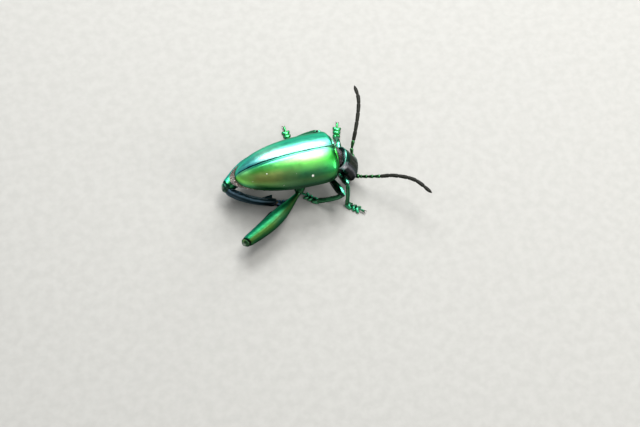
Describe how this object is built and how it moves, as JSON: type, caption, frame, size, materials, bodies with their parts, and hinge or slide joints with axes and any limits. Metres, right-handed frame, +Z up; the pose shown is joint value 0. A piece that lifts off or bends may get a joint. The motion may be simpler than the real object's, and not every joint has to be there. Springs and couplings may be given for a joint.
{
  "type": "frog-legged leaf beetle model",
  "caption": "Life-size still model of a metallic green beetle, head bowed to the floor, with swollen hind thighs trailing and long feelers spread.",
  "frame": {"origin": "centre of the outer box at floor level, below the body", "axes": "+X towards the head along the wing cases' seam, +Y to the beetle's left, +Z up from the floor"},
  "size_m": [0.0328, 0.0234, 0.0101],
  "materials": {
    "wing_case": "polished shell with a metallic green sheen, teal on one side and olive to copper low down",
    "shield": "polished near-black shell with a green and teal sheen",
    "belly": "dark green metallic shell under short pale down",
    "leg": "polished metallic green shell",
    "dark_leg": "polished blue-black to teal shell",
    "foot": "green joints over pads with a felt of brown hairs",
    "eye": "finely faceted black-brown",
    "jaw": "dark brown horn",
    "antenna_base": "polished dark green beads",
    "antenna_tip": "matt dark grey under a bloom of fine hairs"
  },
  "bodies": {
    "root": {"abdomen": "belly", "antenna_left_base": "antenna_base", "antenna_left_tip": "antenna_tip", "antenna_right_base": "antenna_base", "antenna_right_tip": "antenna_tip", "eye_left": "eye", "eye_right": "eye", "fore_left_coxa": "belly", "fore_left_femur": "leg", "fore_left_tarsus": "foot", "fore_left_tibia": "leg", "fore_right_coxa": "belly", "fore_right_femur": "leg", "fore_right_tarsus": "foot", "fore_right_tibia": "leg", "head": "shield", "hind_left_coxa": "belly", "hind_left_femur": "leg", "hind_left_tarsus": "foot", "hind_left_tibia": "dark_leg", "hind_right_coxa": "belly", "hind_right_femur": "leg", "hind_right_tarsus": "foot", "hind_right_tibia": "dark_leg", "mandible_left": "jaw", "mandible_right": "jaw", "mesothorax": "shield", "metathorax": "belly", "mid_left_coxa": "belly", "mid_left_femur": "leg", "mid_left_tarsus": "foot", "mid_left_tibia": "leg", "mid_right_coxa": "belly", "mid_right_femur": "leg", "mid_right_tarsus": "foot", "mid_right_tibia": "leg", "mouthparts": "jaw", "prothorax": "shield", "scutellum": "wing_case", "wing_case_left": "wing_case", "wing_case_right": "wing_case"}
  },
  "joints": []
}
